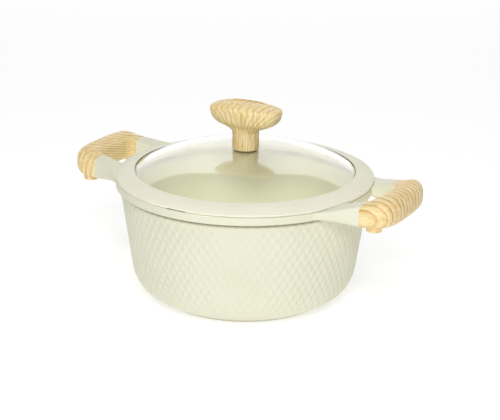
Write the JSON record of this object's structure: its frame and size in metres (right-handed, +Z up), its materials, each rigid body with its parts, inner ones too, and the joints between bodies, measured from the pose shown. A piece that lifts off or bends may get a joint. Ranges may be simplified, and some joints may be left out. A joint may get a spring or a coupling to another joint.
{
  "type": "lidded casserole pot",
  "caption": "Round two-handled casserole with a faceted coated wall, a domed glass lid in a wide silicone ring and a wood T-shaped knob.",
  "frame": {"origin": "centre of the foot's underside, on the pot's axis", "axes": "+Z up along the pot's axis; +X along the line of the two handles; +Y completes the right-handed frame, and the lid's steam slot faces -Y, 2.0 degrees off it towards -X"},
  "size_m": [0.3548, 0.2546, 0.1951],
  "materials": {
    "cream_coat": "matt ceramic coat, cream, over cast aluminium",
    "induction_steel": "brushed",
    "beech": "satin, light straight grain",
    "screw_steel": "plain",
    "lid_glass": "clear tempered",
    "cream_silicone": "matt silicone",
    "insert_brass": "knurled",
    "grey_silicone": "matt silicone"
  },
  "bodies": {
    "pot": {"pot_body": "cream_coat", "base_plate": "induction_steel", "grip_right": "beech", "grip_left": "beech", "grip_screws": "screw_steel"},
    "lid": {"lid_glass": "lid_glass", "lid_ring": "cream_silicone", "knob": "beech", "knob_insert": "insert_brass", "knob_screw": "screw_steel", "knob_gasket": "grey_silicone", "knob_gasket_under": "grey_silicone", "knob_washer": "screw_steel"}
  },
  "joints": [
    {"name": "lid_lift", "type": "slide", "parent": "pot", "child": "lid", "axis": [0, 0, 1], "range_m": [0, 0.16]}
  ]
}
